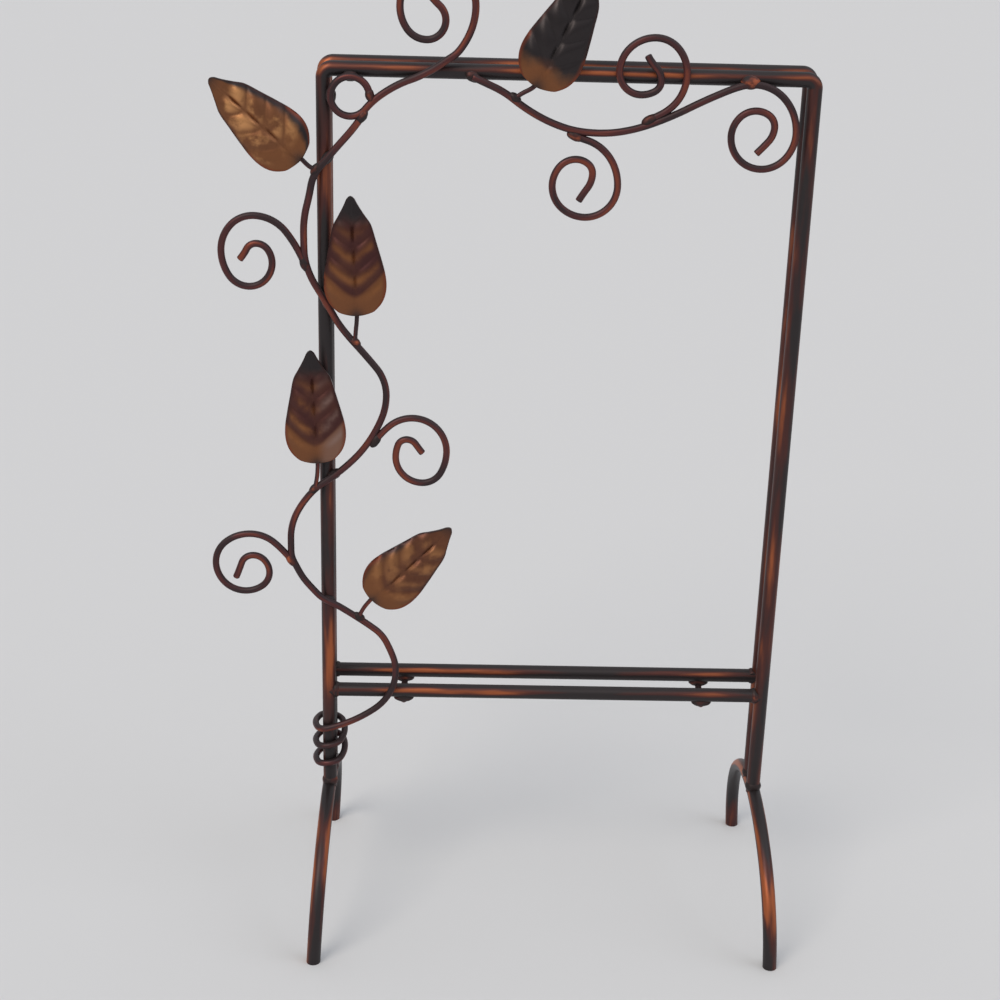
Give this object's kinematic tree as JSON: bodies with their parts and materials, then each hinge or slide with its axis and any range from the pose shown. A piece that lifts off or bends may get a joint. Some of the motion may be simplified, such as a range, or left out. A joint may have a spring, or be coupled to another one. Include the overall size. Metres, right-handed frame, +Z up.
{
  "type": "picture frame",
  "caption": "Standing picture frame of bent rod hoops on arched legs, with a slot for panes and a climbing wire vine with scrolls and stamped leaves.",
  "frame": {"origin": "on the floor, midway between the four feet", "axes": "+Z up, front towards -Y, +X to the viewer's right"},
  "size_m": [0.1635, 0.0824, 0.2742],
  "materials": {
    "bronzed_rod": "rubbed dark copper-brown, satin",
    "bronzed_wire": "rubbed maroon-brown, satin",
    "copper_leaf": "stamped, gold-brown over near black, satin",
    "weld_metal": "rough bead under the same brown finish"
  },
  "bodies": {
    "root": {"front_hoop": "bronzed_rod", "rear_hoop": "bronzed_rod", "left_leg_arch": "bronzed_rod", "right_leg_arch": "bronzed_rod", "front_ledge_bar": "bronzed_rod", "rear_ledge_bar": "bronzed_rod", "left_cross_link": "bronzed_wire", "right_cross_link": "bronzed_wire", "vine_stem": "bronzed_wire", "top_scroll": "bronzed_wire", "top_branch": "bronzed_wire", "upper_scroll": "bronzed_wire", "middle_scroll": "bronzed_wire", "low_scroll": "bronzed_wire", "drop_scroll": "bronzed_wire", "rise_scroll": "bronzed_wire", "corner_leaf_stalk": "bronzed_wire", "upper_leaf_stalk": "bronzed_wire", "middle_leaf_stalk": "bronzed_wire", "low_leaf_stalk": "bronzed_wire", "top_leaf_stalk": "bronzed_wire", "corner_leaf": "copper_leaf", "upper_leaf": "copper_leaf", "middle_leaf": "copper_leaf", "low_leaf": "copper_leaf", "top_leaf": "copper_leaf", "frame_weld_beads": "weld_metal", "vine_weld_knots": "weld_metal", "vine_tack_welds": "weld_metal"}
  },
  "joints": []
}
